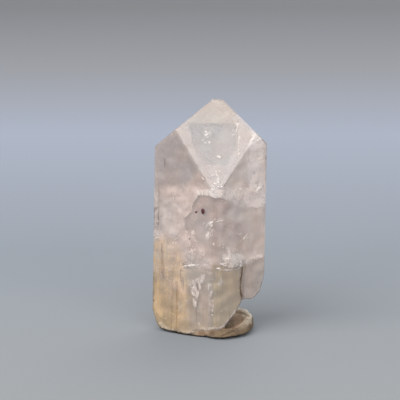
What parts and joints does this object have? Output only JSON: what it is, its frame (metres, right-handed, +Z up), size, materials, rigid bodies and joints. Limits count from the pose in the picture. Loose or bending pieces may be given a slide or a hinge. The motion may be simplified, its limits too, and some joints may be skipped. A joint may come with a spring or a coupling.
{
  "type": "danburite crystal",
  "caption": "Upright see-through danburite crystal with a kite-shaped front face, a dome roof and a broken foot, held up by a flattened lump of mineral putty.",
  "frame": {"origin": "on the ground, under the middle of the crystal and its putty", "axes": "+Z up, close to the crystal's c axis; +X to the right along the crystal's a axis; +Y away from the kite-shaped front face"},
  "size_m": [0.0172, 0.015, 0.0349],
  "materials": {
    "danburite": "natural crystal faces, slightly frosted",
    "putty": "matte, pressed by hand"
  },
  "bodies": {
    "root": {"crystal": "danburite", "putty_pad": "putty"}
  },
  "joints": []
}
